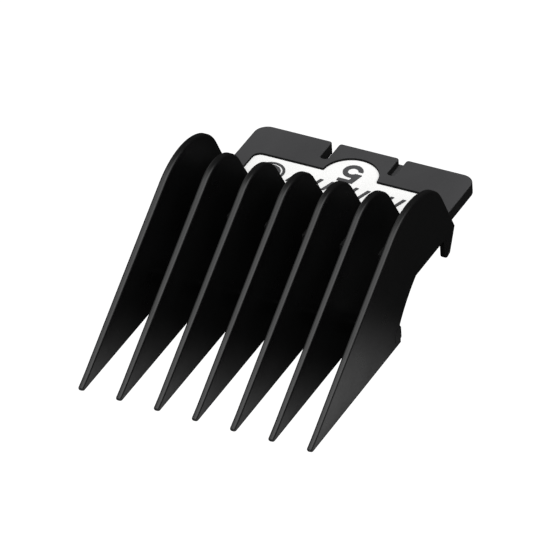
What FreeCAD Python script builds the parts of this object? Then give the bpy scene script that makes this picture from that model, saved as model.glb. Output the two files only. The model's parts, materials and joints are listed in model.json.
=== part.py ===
import FreeCAD, Part
import math
import os

# Clipper guard comb, cut length number 5. Millimetres, +Z up on the skin side, +Y towards the
# finger plate, +X across the teeth. While it is drawn, Y = 0 is just in front of the tips of the
# teeth and Z = 0 is at their lower edges. The finished parts are moved so that the origin is at
# the bottom centre of the whole comb.

Vector = FreeCAD.Vector

# ---- Comb teeth
tooth_count = 7
pitch = 7.0
tip_thickness = 1.0
root_thickness = 1.3
edge_round = 0.38
nose_front_y = 0.4
nose_radius = 0.42
nose_break = 30.0
rise = 33.4
skin_foot_y = -0.2
tip_blend_y = 3.6
tip_blend_angle = 28.0

# The crest of the two outer teeth, and the lower, shorter one of the inner teeth
outer_crest_y = 39.75
outer_crest_radius = 14.2
outer_shoulder_radius = 9.6
outer_shoulder_angle = 25.0
outer_fall = 63.5
inner_crest_y = 38.1
inner_crest_radius = 8.2
inner_fall = 60.0

# ---- Blade seat: the heel of the teeth, the ramp, and the flat seat under the plate
heel_y = 32.9
heel_bottom_z = 0.2
heel_top_z = 3.8
ramp_middle = (35.8, 6.8)
seat_front_y = 39.4
seat_z = 9.4
rear_corner_z = 9.75

# ---- Finger plate. The left slot goes right through it, the right one is a groove in its top.
plate_thickness = 2.3
plate_rear_y = 65.5
plate_corner_radius = 2.4
plate_edge_round = 0.2
slot_width = 1.4
slot_spacing = 12.55
slot_front_y = 60.5
slot_corner_radius = 0.6
slot_mouth_radius = 0.5
groove_depth = 1.3

# ---- Label pocket in the top of the plate, with its paint and raised marks. The pocket and the two
# slots are centred a little to one side of the middle tooth. The badge is at the left of the bars.
label_x = 0.32
pocket_width = 35.4
pocket_front_y = 50.3
pocket_rear_y = 57.95
pocket_depth = 0.55
pocket_corner_radius = 1.5
bump_radius = 5.0
bump_centre_y = 57.75
paint_thickness = 0.1
mark_height = 0.25
bar_count = 11
bar_spacing = 2.2
bar_row_offset = 2.2
bar_width = 0.6
bar_length = 2.7
bar_slant = 0.9
bars_front_y = 52.7
badge_offset = 13.15
badge_y = 54.15
badge_radius = 2.6
badge_ring_width = 0.45
badge_gap = 0.3

# ---- The raised number 5, measured from its own centre as it is read
number_centre_y = 58.4
number_stroke = 0.85
number_top = 2.2
number_top_bar = (-1.15, 1.7)
number_top_bar_height = 0.75
number_bowl_centre = (0.15, -1.05)
number_bowl_radius = 1.75
number_mouth_end = -2.6
number_mouth = (-1.27, -0.52)
number_stem_foot = (-1.78, -0.7)
number_stem_top_end = -0.2

# ---- Round marks of the ejector pins in the underside of the plate
pin_mark_radius = 1.3
pin_mark_depth = 0.12
pin_mark_x = 15.0
pin_mark_rows_y = (51.5, 60.5)

# ---- Bar across the heels
bar_front_y = 31.0
bar_rear_y = 33.2
bar_bottom_z = 1.0
bar_top_z = 3.35
bar_edge_round = 0.25

# ---- Hooks below the seat, one at the rear of each outer tooth
hook_front_y = 50.55
hook_front_z = 5.0
hook_rear_y = 52.15
hook_rear_z = 5.5
hook_corner_radius = 0.5

# ---- Worked out from the dimensions above
half_pitch_span = pitch * (tooth_count - 1) / 2
comb_half_width = half_pitch_span + root_thickness / 2
plate_half_width = half_pitch_span - root_thickness / 2
plate_top_z = seat_z + plate_thickness
pocket_floor_z = plate_top_z - pocket_depth
tall = 30.0
over = 5.0
near = 0.01


def side_point(y, z):
    return Vector(0, y, z)


def on_circle(centre, radius, angle):
    """A point of a circle in the side view, the angle turning from straight up to the rear."""
    turn = math.radians(angle)
    return side_point(centre[0] + radius * math.sin(turn), centre[1] + radius * math.cos(turn))


def line(start, end):
    return Part.makeLine(start, end)


def lines_through(points):
    return [line(first, second) for first, second in zip(points, points[1:])]


def arc_between(centre, radius, first, last):
    middle = (first + last) / 2
    points = [on_circle(centre, radius, angle) for angle in (first, middle, last)]
    return Part.Arc(*points).toShape()


def skin_line_point(y):
    return side_point(y, math.tan(math.radians(rise)) * (y - skin_foot_y))


def crest_centre(crest_y, radius):
    """Centre of a crest arc that the straight skin edge runs into without a corner."""
    drop = radius / math.cos(math.radians(rise))
    return crest_y, skin_line_point(crest_y).z - drop


def nose_centre():
    """Centre of the nose arc. The arc stops short of its lowest point, on the lower edge."""
    return nose_front_y + nose_radius, nose_radius * math.cos(math.radians(nose_break))


def tip_edges():
    """The rounded nose of a tooth and the slim stretch behind it, up to the straight skin edge."""
    centre = nose_centre()
    start = on_circle(centre, nose_radius, -tip_blend_angle)
    end = skin_line_point(tip_blend_y)
    reach = (end - start).Length / 3
    leave = math.radians(tip_blend_angle)
    arrive = math.radians(rise)
    blend = Part.BezierCurve()
    blend.setPoles([
        start,
        start + side_point(math.cos(leave), math.sin(leave)) * reach,
        end - side_point(math.cos(arrive), math.sin(arrive)) * reach,
        end,
    ])
    nose = arc_between(centre, nose_radius, nose_break - 180, -tip_blend_angle)
    return [nose, blend.toShape()]


def outer_skin_edges():
    """Skin edge down to the rear corner, then round the hook and up to the seat."""
    centre = crest_centre(outer_crest_y, outer_crest_radius)
    step = outer_crest_radius - outer_shoulder_radius
    shoulder = on_circle(centre, step, outer_shoulder_angle)
    shoulder_centre = (shoulder.y, shoulder.z)
    crest = arc_between(centre, outer_crest_radius, -rise, outer_shoulder_angle)
    fall = arc_between(shoulder_centre, outer_shoulder_radius, outer_shoulder_angle, outer_fall)
    crest_start = on_circle(centre, outer_crest_radius, -rise)
    fall_end = on_circle(shoulder_centre, outer_shoulder_radius, outer_fall)
    drop = fall_end.z - rear_corner_z
    corner_y = fall_end.y + drop / math.tan(math.radians(outer_fall))
    points = [
        fall_end,
        side_point(corner_y, rear_corner_z),
        side_point(hook_rear_y, hook_rear_z),
        side_point(hook_front_y, hook_front_z),
        side_point(hook_front_y, seat_z),
    ]
    straight = line(skin_line_point(tip_blend_y), crest_start)
    return tip_edges() + [straight, crest, fall] + lines_through(points), points[-1]


def inner_skin_edges():
    centre = crest_centre(inner_crest_y, inner_crest_radius)
    crest = arc_between(centre, inner_crest_radius, -rise, inner_fall)
    crest_start = on_circle(centre, inner_crest_radius, -rise)
    fall_end = on_circle(centre, inner_crest_radius, inner_fall)
    drop = fall_end.z - seat_z
    foot = side_point(fall_end.y + drop / math.tan(math.radians(inner_fall)), seat_z)
    straight = line(skin_line_point(tip_blend_y), crest_start)
    return tip_edges() + [straight, crest, line(fall_end, foot)], foot


def lower_edges(rear):
    """From the rear of the seat forward, down the ramp to the heel and along the lower edge."""
    seat_front = side_point(seat_front_y, seat_z)
    step_top = side_point(heel_y, heel_top_z)
    heel = side_point(heel_y, heel_bottom_z)
    ramp = Part.Arc(seat_front, side_point(*ramp_middle), step_top).toShape()
    nose_end = on_circle(nose_centre(), nose_radius, nose_break - 180)
    return [line(rear, seat_front), ramp] + lines_through([step_top, heel, nose_end])


def tooth_plan():
    """The plan outline that a tooth tapers to, from its tip to the front of the plate."""
    tip = tip_thickness / 2
    root = root_thickness / 2
    corners = [
        Vector(-tip, 0, 0),
        Vector(tip, 0, 0),
        Vector(root, seat_front_y, 0),
        Vector(root, plate_rear_y, 0),
        Vector(-root, plate_rear_y, 0),
        Vector(-root, seat_front_y, 0),
        Vector(-tip, 0, 0),
    ]
    return Part.Face(Part.makePolygon(corners)).extrude(Vector(0, 0, tall))


def half_thickness(y):
    along = min(y / seat_front_y, 1.0)
    return (tip_thickness + (root_thickness - tip_thickness) * along) / 2


def round_rims(blank, lower):
    """Round both rims of the outline except along its lower edges."""
    rims = []
    for edge in blank.Edges:
        middle = edge.valueAt((edge.FirstParameter + edge.LastParameter) / 2)
        on_rim = abs(abs(middle.x) - half_thickness(middle.y)) < near
        flat = Part.Vertex(0, middle.y, middle.z)
        if on_rim and lower.distToShape(flat)[0] > near:
            rims.append(edge)
    return blank.makeFillet(edge_round, rims)


def is_hook_corner(edge):
    """Edges across the tooth at the front and rear of the hook's bottom."""
    foot = edge.Vertexes[0].Point
    ends = [side_point(hook_front_y, hook_front_z), side_point(hook_rear_y, hook_rear_z)]
    return is_across(edge) and any((side_point(foot.y, foot.z) - end).Length < near for end in ends)


def is_across(edge):
    return abs(edge.Vertexes[0].X - edge.Vertexes[-1].X) > near


def tooth_blank(upper, rear):
    """A tooth from its upper edges, which end at the rear of the seat."""
    lower = lower_edges(rear)
    outline = Part.Wire(Part.sortEdges(upper + lower)[0])
    prism = Part.Face(outline).extrude(Vector(2 * root_thickness, 0, 0))
    prism.translate(Vector(-root_thickness, 0, 0))
    corners = [edge for edge in prism.Edges if is_hook_corner(edge)]
    if corners:
        prism = prism.makeFillet(hook_corner_radius, corners)
    return round_rims(prism.common(tooth_plan()), Part.Wire(lower))


def tie_bar():
    """Bar across the heels of all the teeth. It stands just behind them and stops the blade."""
    bar = Part.makeBox(
        2 * comb_half_width,
        bar_rear_y - bar_front_y,
        bar_top_z - bar_bottom_z,
        Vector(-comb_half_width, bar_front_y, bar_bottom_z),
    )
    long_edges = [edge for edge in bar.Edges if edge.Length > pitch]
    return bar.makeFillet(bar_edge_round, long_edges)


def plate_block():
    """Finger plate without its slots and pocket, its four upright corners included."""
    block = Part.makeBox(
        2 * plate_half_width,
        plate_rear_y - seat_front_y,
        plate_thickness,
        Vector(-plate_half_width, seat_front_y, seat_z),
    )
    corners = [edge for edge in block.Edges if is_rear_upright(edge)]
    return block.makeFillet(plate_corner_radius, corners)


def is_rear_upright(edge):
    ends = [vertex.Point for vertex in edge.Vertexes]
    return all(point.y > plate_rear_y - near for point in ends) and abs(ends[0].x - ends[1].x) < near


def is_slot_mouth(edge):
    """Upright edges where the slots open at the rear of the plate."""
    return is_rear_upright(edge) and abs(edge.Vertexes[0].X) < slot_spacing


def slot_cutter(x, depth):
    """Slot open at the rear edge, with rounded inner corners, to a depth below the plate's top."""
    cutter = Part.makeBox(
        slot_width,
        plate_rear_y - slot_front_y + over,
        depth + over,
        Vector(x - slot_width / 2, slot_front_y, plate_top_z - depth),
    )
    inner = []
    for edge in cutter.Edges:
        ends = [vertex.Point for vertex in edge.Vertexes]
        if all(point.y < slot_front_y + near for point in ends) and edge.Length > plate_thickness:
            inner.append(edge)
    return cutter.makeFillet(slot_corner_radius, inner)


def pocket_prism(bottom, height):
    """Outline of the label: a rounded strip with a round bump at its rear."""
    strip = Part.makeBox(
        pocket_width,
        pocket_rear_y - pocket_front_y,
        height,
        Vector(label_x - pocket_width / 2, pocket_front_y, bottom),
    )
    uprights = [edge for edge in strip.Edges if abs(edge.Length - height) < near]
    strip = strip.makeFillet(pocket_corner_radius, uprights)
    bump = Part.makeCylinder(bump_radius, height, Vector(label_x, bump_centre_y, bottom))
    return strip.fuse(bump).removeSplitter()


def back_plate():
    plate = plate_block()
    plate = plate.cut(slot_cutter(label_x - slot_spacing / 2, plate_thickness + over))
    plate = plate.cut(slot_cutter(label_x + slot_spacing / 2, groove_depth))
    plate = plate.removeSplitter()
    mouths = [edge for edge in plate.Edges if is_slot_mouth(edge)]
    plate = plate.makeFillet(slot_mouth_radius, mouths)
    rims = [edge for edge in plate.Edges if is_free_rim(edge)]
    plate = plate.makeFillet(plate_edge_round, rims)
    for side in (-1, 1):
        for y in pin_mark_rows_y:
            mark_foot = Vector(side * pin_mark_x, y, seat_z)
            plate = plate.cut(Part.makeCylinder(pin_mark_radius, pin_mark_depth, mark_foot))
    return plate.cut(pocket_prism(pocket_floor_z, pocket_depth + over))


def is_free_rim(edge):
    """Top and bottom rims of the plate that stick out behind the teeth, slots included."""
    ends = [vertex.Point for vertex in edge.Vertexes]
    behind = max(point.y for point in ends) > seat_front_y + near
    faces = (seat_z, plate_top_z)
    return behind and any(all(abs(point.z - z) < near for point in ends) for z in faces)


def flat_prism(points, bottom, height):
    corners = [Vector(x, y, bottom) for x, y in points]
    return Part.Face(Part.makePolygon(corners + corners[:1])).extrude(Vector(0, 0, height))


def rectangle_prism(left, front, right, rear, bottom, height):
    corners = [(left, front), (right, front), (right, rear), (left, rear)]
    return flat_prism(corners, bottom, height)


def size_number():
    """The raised 5, bold, drawn upright about its own centre and then turned to read from the rear."""
    base = pocket_floor_z
    left, right = number_top_bar
    mouth_bottom, mouth_top = number_mouth
    bar_bottom = number_top - number_top_bar_height
    bowl_centre = Vector(*number_bowl_centre, base)
    outer = Part.makeCylinder(number_bowl_radius, mark_height, bowl_centre)
    inner = Part.makeCylinder(number_bowl_radius - number_stroke, mark_height, bowl_centre)
    mouth = rectangle_prism(number_mouth_end, mouth_bottom, 0, mouth_top, base, mark_height)
    bar = rectangle_prism(left, bar_bottom, right, number_top, base, mark_height)
    stem_outline = [
        (left, number_top),
        (number_stem_foot[0], mouth_top),
        (number_stem_foot[1], mouth_top),
        (number_stem_top_end, number_top),
    ]
    stem = flat_prism(stem_outline, base, mark_height)
    number = outer.cut(inner).cut(mouth).fuse([bar, stem]).removeSplitter()
    number.rotate(Vector(0, 0, 0), Vector(0, 0, 1), 180)
    number.translate(Vector(label_x, number_centre_y, 0))
    return number


def label_marks():
    """A row of plain slanted bars across the label, in place of any wording."""
    bars = []
    rear = bars_front_y + bar_length
    for index in range(bar_count):
        middle = label_x + bar_row_offset + (index - (bar_count - 1) / 2) * bar_spacing
        left = middle - (bar_width + bar_slant) / 2
        outline = [
            (left, bars_front_y),
            (left + bar_width, bars_front_y),
            (left + bar_width + bar_slant, rear),
            (left + bar_slant, rear),
        ]
        bars.append(flat_prism(outline, pocket_floor_z, mark_height))
    return Part.makeCompound(bars)


def label_badge():
    """A plain round badge at the left end of the label, a disc inside a ring."""
    foot = Vector(label_x - badge_offset, badge_y, pocket_floor_z)
    hole = Part.makeCylinder(badge_radius - badge_ring_width, mark_height, foot)
    ring = Part.makeCylinder(badge_radius, mark_height, foot).cut(hole)
    disc = Part.makeCylinder(badge_radius - badge_ring_width - badge_gap, mark_height, foot)
    return Part.makeCompound([ring, disc])


def label_paint(marks):
    """White paint over the floor of the pocket. The raised marks come up through it."""
    paint = pocket_prism(pocket_floor_z, paint_thickness)
    for mark in marks:
        for solid in mark.Solids:
            paint = paint.cut(solid)
    return paint


def outer_tooth():
    """The right-hand outer tooth and its hook, which part at the level of the seat."""
    blank = tooth_blank(*outer_skin_edges())
    below_seat = Part.makeBox(pitch, tall, seat_z, Vector(-pitch / 2, hook_front_y, 0))
    return blank.cut(below_seat), blank.common(below_seat)


def inner_tooth():
    return tooth_blank(*inner_skin_edges()).cut(plate_block())


def mirrored(shape):
    return shape.mirror(Vector(0, 0, 0), Vector(1, 0, 0))


def moved_across(shape, x):
    copy = shape.copy()
    copy.translate(Vector(x, 0, 0))
    return copy


def build():
    """Every part by name, drawn from the tips."""
    parts = {}
    outer, hook = outer_tooth()
    parts["hook_left"] = moved_across(mirrored(hook), -half_pitch_span)
    parts["hook_right"] = moved_across(hook, half_pitch_span)
    bar = tie_bar()
    parts["front_tie_bar"] = bar
    parts["tooth_1"] = moved_across(mirrored(outer), -half_pitch_span).cut(bar)
    for number in range(2, tooth_count):
        x = (number - 1) * pitch - half_pitch_span
        parts[f"tooth_{number}"] = moved_across(inner_tooth(), x).cut(bar)
    parts[f"tooth_{tooth_count}"] = moved_across(outer, half_pitch_span).cut(bar)

    parts["back_plate"] = back_plate()
    parts["size_number"] = size_number()
    parts["label_marks"] = label_marks()
    parts["label_badge"] = label_badge()
    raised = [parts["size_number"], parts["label_marks"], parts["label_badge"]]
    parts["label_paint"] = label_paint(raised)
    return parts


os.makedirs("parts", exist_ok=True)
for name, shape in build().items():
    shape.translate(Vector(0, -(nose_front_y + plate_rear_y) / 2, 0))
    print(name, "solids", len(shape.Solids), "valid", shape.isValid(), "volume", round(shape.Volume, 2))
    shape.exportStep(f"parts/{name}.step")
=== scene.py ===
import json
import math

import bpy
from mathutils import Matrix, Vector


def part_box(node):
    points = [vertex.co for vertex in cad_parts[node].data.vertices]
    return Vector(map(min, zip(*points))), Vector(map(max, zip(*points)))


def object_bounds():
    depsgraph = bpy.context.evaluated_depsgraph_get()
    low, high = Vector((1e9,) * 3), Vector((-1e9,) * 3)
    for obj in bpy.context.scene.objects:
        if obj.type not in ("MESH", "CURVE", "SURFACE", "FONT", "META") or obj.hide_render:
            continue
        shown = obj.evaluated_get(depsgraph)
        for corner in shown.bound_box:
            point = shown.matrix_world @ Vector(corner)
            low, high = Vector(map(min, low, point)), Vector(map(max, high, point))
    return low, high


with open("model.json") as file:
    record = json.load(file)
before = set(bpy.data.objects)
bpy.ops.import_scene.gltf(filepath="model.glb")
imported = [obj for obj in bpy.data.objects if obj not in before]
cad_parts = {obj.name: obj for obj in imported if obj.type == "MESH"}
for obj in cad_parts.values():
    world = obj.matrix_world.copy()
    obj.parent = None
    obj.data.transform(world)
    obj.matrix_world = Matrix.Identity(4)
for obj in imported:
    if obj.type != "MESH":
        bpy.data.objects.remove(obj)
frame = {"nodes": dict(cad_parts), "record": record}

cad_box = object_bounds()
MM = 0.001

# The camera: degrees from -Y towards +X, degrees up, metres away, degrees of roll and millimetres of lens
CAMERA_AZIMUTH = 29.11
CAMERA_ELEVATION = 36.01
CAMERA_DISTANCE = 1.1992
CAMERA_ROLL = 3.65
CAMERA_LENS = 476.0
SENSOR_WIDTH = 36
CAMERA_REACH = 20
# The point it looks at: its offset from the middle of the comb in X and Y, and its height
AIM_OFFSET_X = 0.10 * MM
AIM_OFFSET_Y = -2.5 * MM
AIM_HEIGHT = 9.37 * MM

# Greys of the nylon, from the darkest to the lightest flow mark
BODY_GREYS = (0.0030, 0.0044)
# The raised marks' lighter greys are painted light on their upward tops, over the same black nylon
MARK_LIT_GREYS = (0.05, 0.075)
# The plate's greys are lighter than the body's: painted light on its upward top
PLATE_LIT_GREYS = (0.032, 0.042)
# A painted shade grey for the plate's walls and its front between the teeth
PLATE_PAINTED_SHADE_GREY = 0.004
COOL_TINT = 1.04
BODY_ROUGHNESS = 0.32
MARK_ROUGHNESS = 0.45
PLATE_ROUGHNESS = 0.65
PATCH_CONTRAST = 0.06
FINE_GRAIN = 0.012 * MM
PLATE_GRAIN = 0.03 * MM
FLOW_WAVES = 0.06 * MM
PAINT_PEEL = 0.02 * MM
# How far in Y the painted light on the plate's top fades in
PAINTED_LIGHT_FADE = 0.5 * MM

# The table: its pale grey and the grey of the comb's painted shadow, and how far behind the tips that
# painted shadow fades in from pale to dark
TABLE_PALE = (0.45, 0.45, 0.45)
TABLE_SHADOW_GREY = (0.02, 0.02, 0.02)
UNDER_SHADOW_FADE = (-7 * MM, 27 * MM)
BESIDE_SHADOW_FADE = (15 * MM, 42 * MM)
FLOOR_REACH = 1.5
TABLE_REACH = 0.5

# The light tent: strengths of the key, the fill and the light from everywhere
KEY_STRENGTH = 2.9
FILL_STRENGTH = 0.45
AMBIENT_STRENGTH = 0.04


# ---- Node helpers

def new_material(name):
    material = bpy.data.materials.new(name)
    material.use_nodes = True
    tree = material.node_tree
    tree.nodes.clear()
    output = tree.nodes.new("ShaderNodeOutputMaterial")
    shader = tree.nodes.new("ShaderNodeBsdfPrincipled")
    tree.links.new(shader.outputs["BSDF"], output.inputs["Surface"])
    return material, tree, shader


def coordinates(tree):
    return tree.nodes.new("ShaderNodeTexCoord").outputs["Object"]


def noise(tree, scale, detail, roughness=0.55, stretch=(1, 1, 1)):
    mapping = tree.nodes.new("ShaderNodeMapping")
    mapping.inputs["Scale"].default_value = stretch
    texture = tree.nodes.new("ShaderNodeTexNoise")
    texture.inputs["Scale"].default_value = scale
    texture.inputs["Detail"].default_value = detail
    texture.inputs["Roughness"].default_value = roughness
    tree.links.new(coordinates(tree), mapping.inputs["Vector"])
    tree.links.new(mapping.outputs["Vector"], texture.inputs["Vector"])
    return texture.outputs["Fac"]


def remap(tree, value, source=(0, 1), target=(0, 1), shape="LINEAR"):
    """The value carried from the source range to the target range, and held at their ends."""
    node = tree.nodes.new("ShaderNodeMapRange")
    node.interpolation_type = shape
    node.inputs["From Min"].default_value, node.inputs["From Max"].default_value = source
    node.inputs["To Min"].default_value, node.inputs["To Max"].default_value = target
    tree.links.new(value, node.inputs["Value"])
    return node.outputs["Result"]


def separated(tree, vector):
    node = tree.nodes.new("ShaderNodeSeparateXYZ")
    tree.links.new(vector, node.inputs["Vector"])
    return node.outputs


def calculated(tree, operation, first, second):
    """Two values multiplied or added. The second is a number or another node's output."""
    node = tree.nodes.new("ShaderNodeMath")
    node.operation = operation
    tree.links.new(first, node.inputs[0])
    if isinstance(second, float):
        node.inputs[1].default_value = second
    else:
        tree.links.new(second, node.inputs[1])
    return node.outputs["Value"]


def colour_blend(tree, factor, first, second):
    """A mix of two colours. Each is three numbers or another node's output."""
    node = tree.nodes.new("ShaderNodeMix")
    node.data_type = "RGBA"
    colours = [socket for socket in node.inputs if socket.type == "RGBA"]
    for socket, colour in zip(colours, (first, second)):
        if isinstance(colour, tuple):
            socket.default_value = (*colour, 1)
        else:
            tree.links.new(colour, socket)
    tree.links.new(factor, node.inputs["Factor"])
    return [socket for socket in node.outputs if socket.type == "RGBA"][0]


def bump(tree, height, strength, distance, below=None):
    node = tree.nodes.new("ShaderNodeBump")
    node.inputs["Strength"].default_value = strength
    node.inputs["Distance"].default_value = distance
    tree.links.new(height, node.inputs["Height"])
    if below is not None:
        tree.links.new(below, node.inputs["Normal"])
    return node.outputs["Normal"]


# ---- Materials

def grey(value):
    """A nearly neutral dark grey, a touch cooler than pure grey."""
    return value, value, value * COOL_TINT


def moulded_nylon(name, greys, roughness, grain_depth, lit_top_from=None):
    """Moulded nylon: mould grain, faint flow marks, and patches that handling has left shinier.

    With a Y given, the greys are kept as painted light for faces that look up and lie behind that Y; all
    other faces get a painted shade grey."""
    material, tree, shader = new_material(name)
    flow = noise(tree, scale=90, detail=4, stretch=(1, 0.25, 1))
    patches = noise(tree, scale=160, detail=3)
    grain = noise(tree, scale=5200, detail=2, roughness=0.7)
    dark, light = greys
    shade = colour_blend(tree, remap(tree, flow, source=(0.3, 0.7)), grey(dark), grey(light))
    # Painted light and shade: upward faces behind the given Y keep the lighter greys, other faces (on the
    # plate its walls and its front between the teeth) get the painted shade grey
    if lit_top_from is not None:
        facing = separated(tree, tree.nodes.new("ShaderNodeTexCoord").outputs["Normal"])
        place = separated(tree, coordinates(tree))
        up = remap(tree, facing["Z"], source=(0.4, 0.9))
        behind = remap(tree, place["Y"], source=(lit_top_from - PAINTED_LIGHT_FADE, lit_top_from))
        painted_lit_top = calculated(tree, "MULTIPLY", up, behind)
        shade = colour_blend(tree, painted_lit_top, grey(PLATE_PAINTED_SHADE_GREY), shade)
    tree.links.new(shade, shader.inputs["Base Color"])
    shiny, dull = roughness - PATCH_CONTRAST, roughness + PATCH_CONTRAST
    gloss = remap(tree, patches, source=(0.3, 0.7), target=(shiny, dull))
    tree.links.new(gloss, shader.inputs["Roughness"])
    waves = bump(tree, flow, strength=0.25, distance=FLOW_WAVES)
    relief = bump(tree, grain, strength=0.35, distance=grain_depth, below=waves)
    tree.links.new(relief, shader.inputs["Normal"])
    shader.inputs["IOR"].default_value = 1.5
    shader.inputs["Specular IOR Level"].default_value = 0.4
    return material


def label_paint():
    """White paint with a faint orange-peel surface."""
    material, tree, shader = new_material("label_paint")
    cloud = noise(tree, scale=400, detail=3)
    peel = noise(tree, scale=1800, detail=2)
    shade = colour_blend(tree, cloud, (0.80, 0.80, 0.79), (0.86, 0.86, 0.855))
    tree.links.new(shade, shader.inputs["Base Color"])
    tree.links.new(remap(tree, cloud, target=(0.45, 0.6)), shader.inputs["Roughness"])
    tree.links.new(bump(tree, peel, strength=0.4, distance=PAINT_PEEL), shader.inputs["Normal"])
    return material


def backdrop_material():
    """Overexposed white, the pale floor as the camera sees it."""
    material, tree, shader = new_material("white_floor")
    cloud = noise(tree, scale=3, detail=2)
    shade = colour_blend(tree, cloud, (0.98, 0.98, 0.98), (1.0, 1.0, 1.0))
    tree.links.new(shade, shader.inputs["Base Color"])
    tree.links.new(shade, shader.inputs["Emission Color"])
    shader.inputs["Emission Strength"].default_value = 1.1
    shader.inputs["Roughness"].default_value = 0.9
    shader.inputs["Specular IOR Level"].default_value = 0.0
    return material


def table_material(name, shadow_fade):
    """The table that lights and shades the comb: pale in front, dark behind the fade, where the comb's
    shadow is painted in.
    """
    material, tree, shader = new_material(name)
    tips_y = cad_box[0][1]
    place = separated(tree, coordinates(tree))
    # Painted shadow of the comb: the table turns dark behind the fade
    painted_shadow = remap(tree, place["Y"], source=[tips_y + offset for offset in shadow_fade], shape="SMOOTHSTEP")
    shade = colour_blend(tree, painted_shadow, TABLE_PALE, TABLE_SHADOW_GREY)
    tree.links.new(shade, shader.inputs["Base Color"])
    shader.inputs["Roughness"].default_value = 0.9
    shader.inputs["Specular IOR Level"].default_value = 0.0
    return material


def dress_nodes():
    slots = {row["node"]: row["material_slot"] for row in frame["record"]["subparts"]}
    finishes = {
        "comb_body": moulded_nylon("comb_body", BODY_GREYS, BODY_ROUGHNESS, FINE_GRAIN),
        "raised_marks": moulded_nylon("raised_marks", MARK_LIT_GREYS, MARK_ROUGHNESS, FINE_GRAIN),
        "label_paint": label_paint(),
    }
    for name, piece in frame["nodes"].items():
        piece.data.materials.clear()
        piece.data.materials.append(finishes[slots[name]])
    # The plate's colour: lighter greys painted as light on its upward top behind the label, a painted
    # shade grey on its walls and between the teeth
    label_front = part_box("label_paint")[0][1]
    painted_lit_top = moulded_nylon("plate_with_painted_light", PLATE_LIT_GREYS, PLATE_ROUGHNESS, PLATE_GRAIN, label_front)
    frame["nodes"]["back_plate"].data.materials[0] = painted_lit_top
    for name in ("back_plate", "label_paint"):
        frame["nodes"][name].visible_glossy = False


# ---- Studio

def sheet(name, left, right, half_depth, material):
    """A flat stage sheet at floor level."""
    corners = [(left, -half_depth), (right, -half_depth), (right, half_depth), (left, half_depth)]
    mesh = bpy.data.meshes.new(name)
    mesh.from_pydata([(x, y, 0) for x, y in corners], [], [(0, 1, 2, 3)])
    mesh.materials.append(material)
    piece = bpy.data.objects.new(name, mesh)
    bpy.context.scene.collection.objects.link(piece)
    return piece


def floor():
    """A white floor for the camera, and in the same place the table that lights and shades the comb.

    The table's dark part is a painted shadow of the comb, which starts further back beside the comb than
    under it."""
    white = sheet("white_floor", -FLOOR_REACH, FLOOR_REACH, FLOOR_REACH, backdrop_material())
    white.visible_diffuse = False
    white.visible_glossy = False
    white.visible_shadow = False
    side_x = cad_box[1][0]
    under = table_material("table_under", UNDER_SHADOW_FADE)
    beside = table_material("table_beside", BESIDE_SHADOW_FADE)
    tables = (
        sheet("table_under", -TABLE_REACH, side_x, TABLE_REACH, under),
        sheet("table_beside", side_x, TABLE_REACH, TABLE_REACH, beside),
    )
    for table in tables:
        table.visible_camera = False


def lobe(tree, axis, edge, core, strength):
    """World light that rises smoothly to its strength between the edge and the core round an axis."""
    direction = tree.nodes.new("ShaderNodeTexCoord").outputs["Generated"]
    dot = tree.nodes.new("ShaderNodeVectorMath")
    dot.operation = "DOT_PRODUCT"
    dot.inputs[1].default_value = Vector(axis).normalized()
    tree.links.new(direction, dot.inputs[0])
    return remap(tree, dot.outputs["Value"], (edge, core), (0, strength), "SMOOTHSTEP")


def light_tent():
    """World light: a broad soft key overhead at the front right, a dim fill at the left, dark behind."""
    world = bpy.data.worlds.new("light_tent")
    world.use_nodes = True
    tree = world.node_tree
    key = lobe(tree, axis=(0.2, -0.42, 0.88), edge=0.5, core=0.95, strength=KEY_STRENGTH)
    fill = lobe(tree, axis=(-1.0, 0.0, 0.3), edge=0.55, core=0.95, strength=FILL_STRENGTH)
    both = calculated(tree, "ADD", key, fill)
    total = calculated(tree, "ADD", both, AMBIENT_STRENGTH)
    background = tree.nodes["Background"]
    background.inputs["Color"].default_value = (1, 1, 1, 1)
    tree.links.new(total, background.inputs["Strength"])
    bpy.context.scene.world = world


# ---- Camera

def around(target, azimuth, elevation, distance):
    """A point seen from target at an azimuth counted from -Y towards +X, and an elevation."""
    turn = math.radians(azimuth)
    rise = math.radians(elevation)
    reach = math.cos(rise)
    direction = Vector((math.sin(turn) * reach, -math.cos(turn) * reach, math.sin(rise)))
    return target + direction * distance


def aimed(location, target, roll):
    """A placement at location that looks at target along local -Z, rolled about that line."""
    back = (location - target).normalized()
    right = Vector((0, 0, 1)).cross(back).normalized()
    up = back.cross(right)
    tilt = math.radians(roll)
    tilted_right = right * math.cos(tilt) - up * math.sin(tilt)
    tilted_up = back.cross(tilted_right)
    rotation = Matrix((tilted_right, tilted_up, back)).transposed()
    return Matrix.Translation(location) @ rotation.to_4x4()


def camera():
    low, high = cad_box
    middle_x, middle_y = (low[0] + high[0]) / 2, (low[1] + high[1]) / 2
    target = Vector((middle_x + AIM_OFFSET_X, middle_y + AIM_OFFSET_Y, AIM_HEIGHT))
    data = bpy.data.cameras.new("camera")
    data.lens = CAMERA_LENS
    data.sensor_width = SENSOR_WIDTH
    data.clip_end = CAMERA_REACH
    eye = bpy.data.objects.new("camera", data)
    location = around(target, CAMERA_AZIMUTH, CAMERA_ELEVATION, CAMERA_DISTANCE)
    eye.matrix_world = aimed(location, target, CAMERA_ROLL)
    bpy.context.scene.collection.objects.link(eye)
    bpy.context.scene.camera = eye


dress_nodes()
camera()
floor()
light_tent()
bpy.context.scene.view_settings.view_transform = "Standard"
